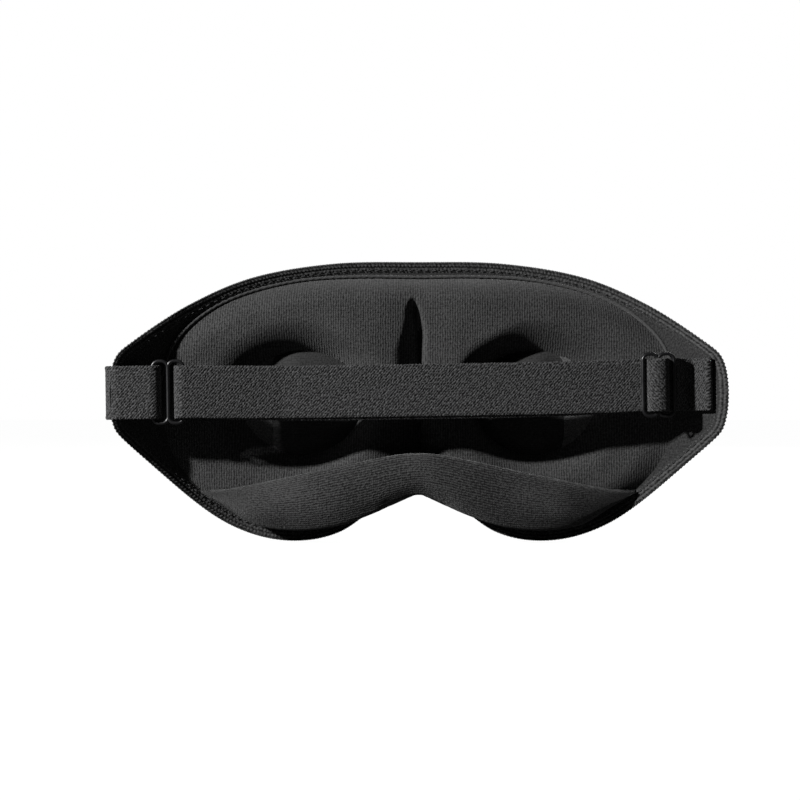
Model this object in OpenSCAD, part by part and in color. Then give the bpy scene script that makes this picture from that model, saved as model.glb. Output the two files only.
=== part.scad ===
// Contoured sleep eye mask with an adjustable elastic strap.
// +X is the wearer's-side right, +Y points away from the wearer's face, +Z is up as worn.
// The origin is midway between the eyes, on the eye line.

/* [Mask body] */
// Width across the wing ends
mask_w = 206; // [200:1:212]
// Height of the top edge above the eye line
top_h = 45.8; // [44:0.2:48]
// Depth of the cheek lobes below the eye line
lobe_h = 52.4; // [51:0.2:54]
// Depth of the nose notch below the eye line
notch_h = 36.2; // [35:0.2:37]
// How far the wing ends reach back towards the ears
wing_reach = 34; // [32:0.5:35]

/* [Layers] */
// Thickness of each fabric skin
skin_t = 0.6; // [0.4:0.1:0.7]
// Thickness of the moulded foam shell
foam_t = 2.5; // [2:0.1:3]
// Width of the binding tape around the edge
binding_w = 3.5; // [3:0.1:4]

/* [Face pad] */
// Depth of the pad's crest in front of the eye line plane
pad_crest = 11; // [10:0.2:12]
// Radius of each eye recess
recess_r = 20; // [18:0.5:21]
// Distance from the centre line to the middle of each eye recess
recess_x = 43; // [42:0.5:44]
// Straight part of each eye recess between its round ends
recess_flat = 14; // [10:1:16]

/* [Strap] */
// Width of the elastic strap
strap_w = 17.8; // [16:0.2:18]
// Thickness of the elastic strap
strap_t = 1.1; // [0.8:0.1:1.1]
// Slope of the strap line, in degrees
strap_slope = 0.85; // [0:0.05:1]
// Height of the strap line above the eye line
strap_rise = 1; // [0:0.5:2]

/* [Buckles] */
// Spacing between a buckle's neighbouring bars
bar_pitch = 5.2; // [5.2:0.1:5.6]
// Diameter of a buckle's bars
bar_d = 1.2; // [1:0.1:1.2]
// Bend radius where a bar turns into the arm above and below it
bar_bend = 2.2; // [2:0.1:2.4]
// Length of the straight part of a bar
bar_len = 16.4; // [16.4:0.2:17]

/* [Hidden] */

gap = 0.1;            // clearance left between layers that touch in use
strap_gap = 0.3;      // clearance under the strap, whose line slopes across the wings
half_w = mask_w / 2;
steps = 4;            // straight pieces per spline span
cut_len = 160;        // longer than the mask in any direction

plan_back = 5;        // depth of the lining at the centre line
wing_end = [half_w - 3.2, plan_back - wing_reach];
shell_t = 2 * skin_t + foam_t + 2 * gap;
binding_lip = 0.3;    // how far the binding stands proud of each face

buckle_y = wing_end.y - 2;     // plane in which both buckles lie
left_buckle_x = -84.1;
adjuster_x = 80.4;
strap_mid = strap_t / 2;
wrap_r = 2.5;                  // centreline radius of the strap over the adjuster's middle bar
loop_r = 1.25;                 // centreline radius of the sewn end around that bar
tab_loop_r = 1.4;              // centreline radius of the tab around its bar
fold_r = 2.25;                 // centreline radius of the strap's fold at the left buckle
front_run_y = buckle_y + 2;    // centreline of the strap behind the adjuster's outer bars
return_run_y = front_run_y + strap_t + gap;
end_run_y = return_run_y + strap_t + gap;
foot_r = 0.8;                  // bend radius of the strap's tight corners
foot_x = 5.9;                  // where the moving wrap meets the runs on either side

// ---------- curves ----------

function catmull(a, b, c, d, t) =
    0.5 * ((2 * b) + (c - a) * t + (2 * a - 5 * b + 4 * c - d) * t * t
    + (3 * b - a - 3 * c + d) * t * t * t);

// Smooth closed curve through a ring of points
function closed_spline(p) = let (n = len(p))
    [for (i = [0:n - 1], k = [0:steps - 1])
        catmull(p[(i + n - 1) % n], p[i], p[(i + 1) % n], p[(i + 2) % n], k / steps)];

// Smooth open curve through a row of points
function open_spline(p) = let (n = len(p)) concat(
    [for (i = [0:n - 2], k = [0:steps - 1])
        catmull(p[max(i - 1, 0)], p[i], p[i + 1], p[min(i + 2, n - 1)], k / steps)],
    [p[n - 1]]);

function reversed(p) = [for (i = [len(p) - 1:-1:0]) p[i]];
function mirrored(p) = [for (q = reversed(p)) [-q.x, q.y]];
function middle(p) = [for (i = [1:len(p) - 2]) p[i]];
// A right half that starts and ends on the centre line, made into a whole ring
function whole(p) = concat(p, middle(mirrored(p)));

function unit(v) = v / norm(v);
function left_of(v) = [-v.y, v.x];

// Moves each point of a clockwise ring inwards by d
function inset(p, d) = let (n = len(p))
    [for (i = [0:n - 1]) p[i] - d * left_of(unit(p[(i + 1) % n] - p[(i + n - 1) % n]))];

// Moves each point of an open row to its left by d
function shifted(p, d) = let (n = len(p))
    [for (i = [0:n - 1]) p[i] + d * left_of(unit(p[min(i + 1, n - 1)] - p[max(i - 1, 0)]))];

// Points on an arc about c, from angle a0 to angle a1
function arc(c, r, a0, a1, n = 6) =
    [for (i = [0:n]) c + r * [cos(a0 + (a1 - a0) * i / n), sin(a0 + (a1 - a0) * i / n)]];

// ---------- outlines ----------

half_outline = [
    [0, top_h], [0.29 * half_w, 0.985 * top_h], [0.56 * half_w, 0.875 * top_h],
    [0.77 * half_w, 0.66 * top_h], [0.935 * half_w, 0.385 * top_h],
    [0.997 * half_w, 0.19 * top_h], [half_w, -0.17 * lobe_h],
    [0.945 * half_w, -0.36 * lobe_h], [0.74 * half_w, -0.75 * lobe_h],
    [0.585 * half_w, -0.935 * lobe_h], [0.425 * half_w, -lobe_h],
    [0.27 * half_w, -0.945 * lobe_h], [0.115 * half_w, -0.745 * lobe_h], [0, -notch_h]
];
outline = closed_spline(whole(half_outline));

half_pad = [
    [0, top_h - 5.9], [21, top_h - 5.8], [41, top_h - 7.2], [59.5, top_h - 11.7],
    [73, top_h - 18.4], [83, 17.5], [87.5, 5], [88, -8], [85.5, -20], [78, -32],
    [64, 10.6 - lobe_h], [46, 6 - lobe_h], [30, 8.4 - lobe_h], [14, 2.6 - notch_h], [0, 5.8 - notch_h]
];
pad_outline = closed_spline(whole(half_pad));

half_flap = [
    [0, -21.6], [20, -24], [44, -29.5], [62, -33], [74, -35.5], [67, 10 - lobe_h],
    [54, 4.4 - lobe_h], [44, 3.4 - lobe_h], [31, 5.2 - lobe_h], [16, -0.8 * lobe_h + 2],
    [0, -notch_h]
];
flap_outline = closed_spline(whole(half_flap));

// The wearer's side of the lining, seen from above
half_plan = [
    [0, plan_back], [35, plan_back - 2], [62, plan_back - 6.5],
    [80, plan_back - 13], [91, plan_back - 22.5], wing_end
];
plan = open_spline(concat(mirrored(half_plan), [for (i = [1:len(half_plan) - 1]) half_plan[i]]));

// The pad's face, seen from above
half_face = [
    [0, 1 - pad_crest], [16, -0.5 - pad_crest], [40, -pad_crest],
    [62, 0.5 - pad_crest], [78, -1 - pad_crest], [90, -6 - pad_crest]
];
face = open_spline(concat(mirrored(half_face), [for (i = [1:len(half_face) - 1]) half_face[i]]));

// The flap's side profile, front face then back face, as [y, z]
flap_front = [[-17, -notch_h - 19], [-19.5, -notch_h - 8], [-20.5, -notch_h + 4], [-19.2, -18]];
flap_back = [[-14, -notch_h - 19], [-15, -notch_h - 8], [-16, -notch_h + 4], [-16.6, -18]];

// ---------- building blocks ----------

// Everything that lies inside a front-view outline
module inside(ring) {
    rotate([90, 0, 0])
        linear_extrude(height = cut_len, center = true)
            polygon(ring);
}

// A band of the bent shell between two depths behind the lining's face
module bent_sheet(t0, t1) {
    linear_extrude(height = cut_len, center = true)
        polygon(concat(shifted(plan, t0), reversed(shifted(plan, t1))));
}

module shell_layer(t0, t1, edge) {
    intersection() {
        bent_sheet(t0, t1);
        inside(inset(outline, edge));
    }
}

// The solid between the lining and the pad's face, drawn in by d on every outer side
module pad_blank(d, back) {
    intersection() {
        linear_extrude(height = cut_len, center = true)
            polygon(concat(shifted(plan, back), reversed([for (q = face) q + [0, d]])));
        inside(inset(pad_outline, d));
    }
}

module eye_recess(side, d) {
    r = recess_r + d;
    translate([side * recess_x, 0, -3]) rotate([90, 0, 0])
        linear_extrude(height = cut_len, center = true) {
            for (end = [-1, 1])
                translate([end * recess_flat / 2, 0]) circle(r = r, $fn = 64);
            square([recess_flat, 2 * r], center = true);
        }
}

// The crease between the brows, which opens into the channel for the nose
module nose_channel(d) {
    crease_top = 31 + d;
    channel_top = -12 + d;
    translate([0, 0, crease_top - cut_len])
        linear_extrude(height = cut_len)
            polygon([[-7 - d, -4 - pad_crest], [7 + d, -4 - pad_crest], [0, 8 - pad_crest + d]]);
    translate([0, 0, channel_top - cut_len])
        linear_extrude(height = cut_len)
            polygon([[-12 - d, -4 - pad_crest], [12 + d, -4 - pad_crest], [0, 12 - pad_crest + d]]);
}

module pad_shape(d, back) {
    difference() {
        pad_blank(d, back);
        eye_recess(-1, d);
        eye_recess(1, d);
        nose_channel(d);
    }
}

// The flap's bulging panel, drawn in by d on its front, back, top and ends
module flap_panel(d, drop) {
    profile = concat(
        [for (q = open_spline(flap_front)) q + [d, 0]],
        reversed([for (q = open_spline(flap_back)) q - [d, 0]]));
    intersection() {
        rotate([90, 0, 90])
            linear_extrude(height = cut_len, center = true)
                polygon(profile);
        inside([for (q = inset(flap_outline, d)) [q.x, q.y - drop]]);
    }
}

// A strip of strap standing on edge, following a centreline seen from above
module ribbon(line, w = strap_w) {
    linear_extrude(height = w, center = true)
        polygon(concat(shifted(line, strap_mid), reversed(shifted(line, -strap_mid))));
}

module on_strap_line() {
    translate([0, 0, strap_rise]) rotate([0, -strap_slope, 0]) children();
}

// A short thread lying on a face, along the strap's width
module thread(length = 1.5) {
    cylinder(h = length, d = 0.35, center = true, $fn = 16);
}

// A row of threads across the strap, at a place seen from above
module thread_row(at, count = 8) {
    pitch = (strap_w - 2) / count;
    for (i = [0:count - 1])
        translate([at.x, at.y, (i - (count - 1) / 2) * pitch]) thread(0.75 * pitch);
}

// A figure-eight buckle: three bars joined above and below by bent arms
module figure_eight() {
    bend_z = bar_len / 2;
    arm = bar_pitch - 2 * bar_bend;
    for (i = [-1:1])
        translate([i * bar_pitch, 0, 0])
            cylinder(h = bar_len, d = bar_d, center = true, $fn = 32);
    for (half = [-1, 1], up = [0, 1])
        mirror([0, 0, up]) translate([half * bar_pitch / 2, 0, bend_z]) {
            for (turn = [0, 1])
                mirror([turn, 0, 0]) translate([arm / 2, 0, 0]) rotate([90, 0, 0])
                    rotate_extrude(angle = 90, $fn = 64)
                        translate([bar_bend, 0]) circle(d = bar_d, $fn = 32);
            translate([0, 0, bar_bend]) rotate([0, 90, 0])
                cylinder(h = arm, d = bar_d, center = true, $fn = 32);
        }
}

// ---------- strap paths, seen from above ----------

wing_along = unit(wing_end - half_plan[len(half_plan) - 2]);   // towards the wing's end
wing_out = left_of(wing_along);                                // out of the wing's outer face
wing_angle = atan2(wing_along.y, wing_along.x);

// A point by the right wing's end: d back from the end and t out of its lining
function by_wing(d, t) = wing_end - d * wing_along + t * wing_out;

root_t = -binding_lip - strap_gap - strap_mid;        // a strap end lying on the wing's inner face
root_fold_r = 1.2;
root_fold_c = by_wing(1.5, root_t) - root_fold_r * wing_out;
// The sewn root on the inner face, then the fold that turns it towards the centre line
root_path = concat(
    [by_wing(10, root_t)],
    arc(root_fold_c, root_fold_r, wing_angle + 90, -90)
);

outer_t = shell_t + binding_lip + strap_gap + strap_mid;   // a strap end lying on the outer face
tab_front_y = buckle_y - tab_loop_r;
tab_turn_r = (by_wing(0, outer_t).y - tab_front_y) / (1 + cos(wing_angle));
tab_turn_c = by_wing(0, outer_t) - tab_turn_r * wing_out;
tab_bar = [bar_pitch - left_buckle_x, buckle_y];
// Mirrored copy of the left tab's path: outer face, round the wing's end, round the bar, inner face
tab_path = concat(
    [by_wing(9, outer_t)],
    arc(tab_turn_c, tab_turn_r, wing_angle + 90, -90, 10),
    arc(tab_bar, tab_loop_r, 270, 90, 12),
    reversed(root_path)
);

fold_c = [left_buckle_x + bar_pitch, buckle_y];
settle = 13;         // length over which the two runs draw together beside the fold
main_path = concat(
    [[adjuster_x - foot_x - gap, front_run_y]],
    [[fold_c.x + settle, buckle_y - 0.2 - strap_mid]],
    arc(fold_c, fold_r, 270, 90, 12),
    [[fold_c.x + settle, buckle_y + 1.2 + strap_mid]],
    [[adjuster_x - foot_x - gap, return_run_y]]
);

wrap_foot_y = front_run_y - foot_r;
wrap_path = [for (q = concat(
    [[-foot_x, front_run_y]],
    arc([-wrap_r - foot_r, wrap_foot_y], foot_r, 90, 0),
    arc([0, buckle_y], wrap_r, 180, 360, 14),
    arc([wrap_r + foot_r, wrap_foot_y], foot_r, 180, 90),
    [[foot_x, front_run_y]]
)) q + [adjuster_x, 0]];

end_path = [for (q = concat(
    [[-foot_x, return_run_y]],
    arc([-loop_r - foot_r, return_run_y - foot_r], foot_r, 90, 0),
    arc([0, buckle_y], loop_r, 180, 360, 12),
    arc([loop_r - foot_r, end_run_y - foot_r], foot_r, 0, 90),
    [[-foot_x - 6, end_run_y]]
)) q + [adjuster_x, 0]];

tail_path = concat(root_path, [[adjuster_x + foot_x + gap, front_run_y]]);

// ---------- mask body ----------

module outer_cover() {
    color("#26272a") shell_layer(skin_t + foam_t + 2 * gap, shell_t, binding_w + gap);
}

module foam_shell() {
    color("#4a4a4c") shell_layer(skin_t + gap, skin_t + foam_t + gap, binding_w + gap);
}

module inner_lining() {
    color("#1d1e20") shell_layer(0, skin_t, binding_w + gap);
}

module edge_binding() {
    color("#303134") difference() {
        shell_layer(-binding_lip, shell_t + binding_lip, 0);
        inside(inset(outline, binding_w));
    }
}

// Lock stitches along the middle of the binding, on the wearer's side
module edge_stitching() {
    line = inset(outline, binding_w / 2);
    stitch = [2.2, cut_len, 0.4];
    color("#55565a")
        intersection() {
            bent_sheet(-binding_lip - 0.4, -binding_lip - 0.05);
            for (i = [1:len(line) - 2])
                if (abs(line[i].x) < 0.9 * half_w)
                    let (tangent = unit(line[i + 1] - line[i - 1]))
                        translate([line[i].x, 0, line[i].y])
                            rotate([0, -atan2(tangent.y, tangent.x), 0])
                                cube(stitch, center = true);
        }
}

// ---------- face pad ----------

module pad_cover() {
    color("#2c2d30") difference() {
        pad_shape(0, -gap);
        pad_shape(0.8, 1);
    }
}

module pad_foam() {
    color("#6b6b6b") pad_shape(0.85, -gap);
}

// The cord along the pad's upper seam
module pad_piping() {
    color("#4c4d50") intersection() {
        difference() {
            bent_sheet(-1.7, -gap);
            inside(inset(pad_outline, -gap));
        }
        inside(inset(pad_outline, -0.9));
        translate([-cut_len, -cut_len / 2, 4]) cube([2 * cut_len, cut_len, cut_len]);
    }
}

// ---------- nose flap ----------

module nose_flap_cover() {
    color("#333437") difference() {
        flap_panel(0, 0);
        flap_panel(0.8, 0);
        flap_panel(0.8, 3);
    }
}

module nose_flap_foam() {
    color("#747474") flap_panel(0.9, 0);
}

// The sewn-in lower edge of the flap, between the pad and the binding
module nose_flap_hem() {
    reach = 13.2;
    span = 66;
    behind = [for (q = shifted(plan, -gap)) if (abs(q.x) < span) q];
    color("#2a2b2e") intersection() {
        linear_extrude(height = cut_len, center = true)
            polygon(concat(behind, [[span, -reach], [-span, -reach]]));
        difference() {
            inside(inset(outline, binding_w + gap));
            inside(inset(pad_outline, -0.4));
        }
        translate([-cut_len, -cut_len / 2, -cut_len - notch_h / 2])
            cube([2 * cut_len, cut_len, cut_len]);
    }
}

// ---------- strap ----------

module left_tab() {
    color("#3a3b3e") on_strap_line() mirror([1, 0, 0]) ribbon(tab_path);
}

module left_tab_stitching() {
    face_t = 0.3 + strap_mid;
    color("#5a5b5f") on_strap_line() mirror([1, 0, 0])
        for (d = [4, 7]) {
            thread_row(by_wing(d, outer_t + face_t));
            thread_row(by_wing(d, root_t - face_t));
        }
}

module left_buckle() {
    color("#0c0c0d") on_strap_line() translate([left_buckle_x, buckle_y, 0]) figure_eight();
}

module main_strap() {
    color("#3a3b3e") on_strap_line() ribbon(main_path);
}

module strap_wrap() {
    color("#3a3b3e") on_strap_line() ribbon(wrap_path);
}

module strap_end_loop() {
    color("#3a3b3e") on_strap_line() ribbon(end_path);
}

module strap_end_stitching() {
    color("#5a5b5f") on_strap_line()
        for (x = [8.5, 10.5])
            thread_row([adjuster_x - x, end_run_y + strap_mid + 0.3]);
}

module strap_tail() {
    color("#3a3b3e") on_strap_line() ribbon(tail_path);
}

module strap_tail_stitching() {
    color("#5a5b5f") on_strap_line()
        for (d = [4, 7])
            thread_row(by_wing(d, root_t - 0.3 - strap_mid));
}

module slide_adjuster() {
    color("#0c0c0d") on_strap_line() translate([adjuster_x, buckle_y, 0]) figure_eight();
}

outer_cover();
foam_shell();
inner_lining();
edge_binding();
edge_stitching();
pad_cover();
pad_foam();
pad_piping();
nose_flap_cover();
nose_flap_foam();
nose_flap_hem();
left_tab();
left_tab_stitching();
left_buckle();
main_strap();
strap_wrap();
strap_end_loop();
strap_end_stitching();
strap_tail();
strap_tail_stitching();
slide_adjuster();
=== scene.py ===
"""Looks of a contoured sleep eye mask with an adjustable elastic strap.

Shapes are worked out in millimetres in the frame's own axes: +X towards the slide adjuster,
+Y away from the wearer's face, +Z up as worn. The wearer's side faces -Y.
"""

import math

import bpy
import numpy as np
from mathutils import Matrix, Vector, kdtree


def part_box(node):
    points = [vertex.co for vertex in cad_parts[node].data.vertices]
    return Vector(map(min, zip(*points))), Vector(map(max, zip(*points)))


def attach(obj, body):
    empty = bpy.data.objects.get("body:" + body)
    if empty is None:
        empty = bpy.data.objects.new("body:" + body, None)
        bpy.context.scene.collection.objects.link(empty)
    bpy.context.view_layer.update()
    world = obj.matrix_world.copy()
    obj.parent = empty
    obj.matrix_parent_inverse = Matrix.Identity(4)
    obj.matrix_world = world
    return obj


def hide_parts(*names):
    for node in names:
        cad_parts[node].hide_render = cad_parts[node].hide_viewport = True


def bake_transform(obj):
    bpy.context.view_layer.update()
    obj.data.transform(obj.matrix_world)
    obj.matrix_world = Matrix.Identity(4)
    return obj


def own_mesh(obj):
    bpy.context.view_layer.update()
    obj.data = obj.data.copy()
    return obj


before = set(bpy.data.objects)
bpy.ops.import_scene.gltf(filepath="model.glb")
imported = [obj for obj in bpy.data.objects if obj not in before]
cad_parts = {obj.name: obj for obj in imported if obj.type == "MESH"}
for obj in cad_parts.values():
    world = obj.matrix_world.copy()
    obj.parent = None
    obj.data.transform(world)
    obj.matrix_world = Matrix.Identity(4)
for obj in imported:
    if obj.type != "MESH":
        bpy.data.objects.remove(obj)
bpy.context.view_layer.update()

MM = 0.001


def box_mm(node):
    """Lowest and highest corner of a CAD node, in millimetres."""
    low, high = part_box(node)
    return np.array(low) / MM, np.array(high) / MM


# ---------------------------------------------------------------- driving sizes, from the frame

BINDING_LOW, BINDING_HIGH = box_mm("edge_binding")
HALF_W = 103.0
TOP = BINDING_HIGH[2]
LOBE = -BINDING_LOW[2]      # how far the two cheek lobes hang below the eye line
NOTCH = 36.2                # how far below the eye line the nose notch's top is

SKIN_T = 0.6                # thickness of the lining and of the outer cover
LIP = 0.3                   # how far the binding stands proud of both
SHELL_T = 3.9
LAYER_INSET = 2.2           # how far the fabric layers end inside the mask's outline
PLAN_BACK = 5.0             # depth of the shell's lining at the centre line
WING_END = (HALF_W - 3.2, PLAN_BACK - 34.0)

PAD_CREST = 11.0
PAD_SHOULDER_W = 9.5
RECESS_X = 41.0
RECESS_Z = -1.6
FLOOR_HALF_W = 21.5
FLOOR_TOP_H = 15.4
FLOOR_LOW_H = 20.0
RECESS_LIP = 12.6
FLOOR_SINK = 0.3
EYE_CROWN = 4.5

CREASE_TOP = 33.5
CREASE_ROUND = 7.0
CREASE_DEPTH = 9.5

RIM_ROLL = 2.6
RIM_ROLL_W = 6.0
BAND_W = 4.0
ROW_PITCH = 1.35            # between the binding's rows of loops
LOOP_PITCH = 1.3            # between loops in a row
COARSE_FROM = 67            # from here out to the wings' ends the lining is the coarser knit

BUCKLE_LOW, BUCKLE_HIGH = box_mm("left_buckle")
ADJUSTER_LOW, ADJUSTER_HIGH = box_mm("slide_adjuster")
BUCKLE_Y = (BUCKLE_LOW[1] + BUCKLE_HIGH[1]) / 2
BUCKLE_X = (BUCKLE_LOW[0] + BUCKLE_HIGH[0]) / 2
ADJUSTER_X = (ADJUSTER_LOW[0] + ADJUSTER_HIGH[0]) / 2
BAR_PITCH = 5.2             # from a slide's middle bar to its outer bars
STRAP_W = 17.8
STRAP_T = 1.1
STRAP_RISE = 1.0
STRAP_SLOPE = math.radians(0.85)

# ---------------------------------------------------------------- curves


def spline(points, steps=12, closed=False):
    """Smooth curve through points."""
    p = np.asarray(points, float)
    n = len(p)
    t = (np.arange(steps) / steps)[:, None]
    rows = []
    for i in range(n if closed else n - 1):
        if closed:
            a, b, c, d = p[(i - 1) % n], p[i], p[(i + 1) % n], p[(i + 2) % n]
        else:
            a, b, c, d = p[max(i - 1, 0)], p[i], p[i + 1], p[min(i + 2, n - 1)]
        rows.append(
            0.5 * (2 * b + (c - a) * t + (2 * a - 5 * b + 4 * c - d) * t**2
                   + (3 * b - a - 3 * c + d) * t**3)
        )
    if not closed:
        rows.append(p[-1:])
    return np.concatenate(rows)


def mirrored(points):
    """The other half of a shape, run through the other way."""
    return [(-x, y) for x, y in reversed(points)]


def whole(half):
    """A right half that starts and ends on the centre line, made into a whole ring."""
    return list(half) + mirrored(half)[1:-1]


def lengths(path, closed=False):
    """Distance along a path at each of its points."""
    steps = np.linalg.norm(np.diff(path, axis=0), axis=1)
    total = np.concatenate([[0], np.cumsum(steps)])
    return total if not closed else (total, total[-1] + np.linalg.norm(path[0] - path[-1]))


def evenly(path, spacing, closed=False):
    """The same path with points evenly spaced along it."""
    path = np.asarray(path, float)
    if closed:
        path = np.concatenate([path, path[:1]])
    along = lengths(path)
    count = max(2, int(round(along[-1] / spacing)))
    at = np.linspace(0, along[-1], count + 1)
    if closed:
        at = at[:-1]
    return np.stack([np.interp(at, along, path[:, k]) for k in range(path.shape[1])], 1)


def tangents(path, closed=False):
    """Unit directions of travel along a path."""
    if closed:
        t = np.roll(path, -1, 0) - np.roll(path, 1, 0)
    else:
        t = np.gradient(path, axis=0)
    return t / np.maximum(np.linalg.norm(t, axis=1, keepdims=True), 1e-9)


def left_of(t):
    """Flat directions turned a quarter to the left."""
    return np.stack([-t[:, 1], t[:, 0]], 1)


def arc(centre, radius, start, end, count=14):
    """Points on a circle, between two angles in degrees."""
    a = np.radians(np.linspace(start, end, count))
    return np.stack([centre[0] + radius * np.cos(a), centre[1] + radius * np.sin(a)], 1)


def smooth(t):
    """An easy rise from 0 to 1 while t goes from 0 to 1."""
    t = np.clip(t, 0, 1)
    return t * t * (3 - 2 * t)


def soft_min(a, b, k):
    """The lesser of two, rounded over where they are within k of one another."""
    h = np.clip(0.5 + 0.5 * (b - a) / k, 0, 1)
    return b * (1 - h) + a * h - k * h * (1 - h)


# ---------------------------------------------------------------- outlines and depths

HALF_OUTLINE = [
    (0, TOP), (0.29 * HALF_W, 0.985 * TOP), (0.56 * HALF_W, 0.875 * TOP),
    (0.77 * HALF_W, 0.66 * TOP), (0.935 * HALF_W, 0.385 * TOP),
    (0.997 * HALF_W, 0.19 * TOP), (HALF_W, -0.17 * LOBE), (0.945 * HALF_W, -0.36 * LOBE),
    (0.74 * HALF_W, -0.75 * LOBE), (0.585 * HALF_W, -0.935 * LOBE), (0.425 * HALF_W, -LOBE),
    (0.27 * HALF_W, -0.945 * LOBE), (0.115 * HALF_W, -0.745 * LOBE), (0, -NOTCH),
]
OUTLINE = spline(whole(HALF_OUTLINE), 16, closed=True)

HALF_PAD = [
    (0, TOP - 5.9), (21, TOP - 5.8), (41, TOP - 7.2), (59.5, TOP - 11.7), (73, TOP - 18.4),
    (83, 17.5), (87.5, 5), (88, -8), (85.5, -20), (78, -32), (64, 10.6 - LOBE),
    (46, 6 - LOBE), (30, 8.4 - LOBE), (14, 2.6 - NOTCH), (0, 5.8 - NOTCH),
]
PAD_OUTLINE = spline(whole(HALF_PAD), 16, closed=True)

HALF_PLAN = [
    (0, PLAN_BACK), (35, PLAN_BACK - 2), (62, PLAN_BACK - 6.5),
    (80, PLAN_BACK - 13), (91, PLAN_BACK - 22.5), WING_END,
]
PLAN = spline(mirrored(HALF_PLAN) + HALF_PLAN[1:], 16)
PLAN_END = PLAN[-1] + 8 * (PLAN[-1] - PLAN[-2]) / np.linalg.norm(PLAN[-1] - PLAN[-2])
PLAN = np.concatenate([[PLAN_END * [-1, 1]], PLAN, [PLAN_END]])

HALF_FACE = [
    (0, 1 - PAD_CREST), (16, -0.5 - PAD_CREST), (40, -PAD_CREST),
    (62, 0.5 - PAD_CREST), (78, -1 - PAD_CREST), (90, -6 - PAD_CREST),
]
FACE = spline(mirrored(HALF_FACE) + HALF_FACE[1:], 16)


def sheet_y(x, t=0.0):
    """Depth of the bent shell, t behind the lining's face, at a place across the mask."""
    curve = PLAN + t * left_of(tangents(PLAN))
    return np.interp(x, curve[:, 0], curve[:, 1])


def rim_roll(x, d):
    """How far the edge of the mask curls towards the wearer, d in from its outline."""
    fade = smooth((95 - np.abs(x)) / 14)
    return RIM_ROLL * fade * (1 - np.clip(d / RIM_ROLL_W, 0, 1)) ** 2


def edges_of(ring):
    """Functions giving a ring's top and bottom edge at a place across, and its half width."""
    ring = np.asarray(ring)
    right, left = int(np.argmax(ring[:, 0])), int(np.argmin(ring[:, 0]))
    rolled = np.roll(ring, -left, 0)
    cut = (right - left) % len(ring)
    top = rolled[: cut + 1]
    bottom = np.concatenate([rolled[cut:], rolled[:1]])[::-1]

    def top_at(x):
        return np.interp(x, top[:, 0], top[:, 1])

    def bottom_at(x):
        return np.interp(x, bottom[:, 0], bottom[:, 1])

    return top_at, bottom_at, float(ring[:, 0].max())


def inset(ring, d):
    """A clockwise ring drawn in by d."""
    return ring - d * left_of(tangents(ring, closed=True))


def distance_inside(ring, x, z):
    """Distance from each place to the nearest point of a ring."""
    dense = evenly(ring, 0.12, closed=True)
    tree = kdtree.KDTree(len(dense))
    for i, p in enumerate(dense):
        tree.insert((p[0], p[1], 0), i)
    tree.balance()
    flat = [tree.find((a, b, 0))[2] for a, b in zip(x.ravel(), z.ravel())]
    return np.array(flat).reshape(x.shape)


WING_MIDDLE = lengths(PLAN)[-1] / 2

# ---------------------------------------------------------------- meshes


def make_mesh(name, points, faces, uv=None):
    """A piece from points in millimetres. uv gives each point its place on the cloth."""
    mesh = bpy.data.meshes.new(name)
    mesh.from_pydata((np.asarray(points) * MM).tolist(), [], faces)
    if uv is not None:
        layer = mesh.uv_layers.new(name="cloth")
        loops = np.empty(len(mesh.loops), int)
        mesh.loops.foreach_get("vertex_index", loops)
        layer.data.foreach_set("uv", np.asarray(uv, float)[loops].ravel())
    mesh.polygons.foreach_set("use_smooth", [True] * len(mesh.polygons))
    mesh.update()
    obj = bpy.data.objects.new(name, mesh)
    bpy.context.scene.collection.objects.link(obj)
    return obj


def quads(rows, cols, closed_rows=False, closed_cols=False, offset=0, flip=False):
    """Four-sided faces of a grid of points."""
    i = np.arange(rows if closed_rows else rows - 1)
    j = np.arange(cols if closed_cols else cols - 1)
    a, b = np.meshgrid(i, j, indexing="ij")
    a, b = a.ravel(), b.ravel()
    a2, b2 = (a + 1) % rows, (b + 1) % cols
    q = np.stack([a * cols + b, a2 * cols + b, a2 * cols + b2, a * cols + b2], 1) + offset
    return (q[:, ::-1] if flip else q).tolist()


def normals(grid, closed_rows=False, closed_cols=False):
    """Unit normals of a grid of points, towards the left-handed side of rows then columns."""
    def step(axis, closed):
        if closed:
            return np.roll(grid, -1, axis) - np.roll(grid, 1, axis)
        return np.gradient(grid, axis=axis)

    n = np.cross(step(0, closed_rows), step(1, closed_cols))
    return n / np.maximum(np.linalg.norm(n, axis=2, keepdims=True), 1e-9)


def slab(name, front, back, uv):
    """A closed piece between two grids with the same layout. front faces -Y."""
    rows, cols = front.shape[:2]
    count = rows * cols
    faces = quads(rows, cols) + quads(rows, cols, offset=count, flip=True)
    rim = ([(i, 0) for i in range(rows)] + [(rows - 1, j) for j in range(1, cols)]
           + [(i, cols - 1) for i in range(rows - 2, -1, -1)]
           + [(0, j) for j in range(cols - 2, 0, -1)])
    ring = [i * cols + j for i, j in rim]
    for a, b in zip(ring, ring[1:] + ring[:1]):
        faces.append([b, a, a + count, b + count])
    points = np.concatenate([front.reshape(-1, 3), back.reshape(-1, 3)])
    flat = np.asarray(uv).reshape(-1, 2)
    return make_mesh(name, points, faces, np.concatenate([flat, flat]))


def tube(name, grid, uv, closed=False):
    """A closed piece from rings of points. Ends are capped unless the rings join up."""
    rows, cols = grid.shape[:2]
    faces = quads(rows, cols, closed_rows=closed, closed_cols=True)
    if not closed:
        faces.append(list(range(cols)))
        faces.append(list(range((rows - 1) * cols, rows * cols))[::-1])
    return make_mesh(name, grid.reshape(-1, 3), faces, np.asarray(uv).reshape(-1, 2))


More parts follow.
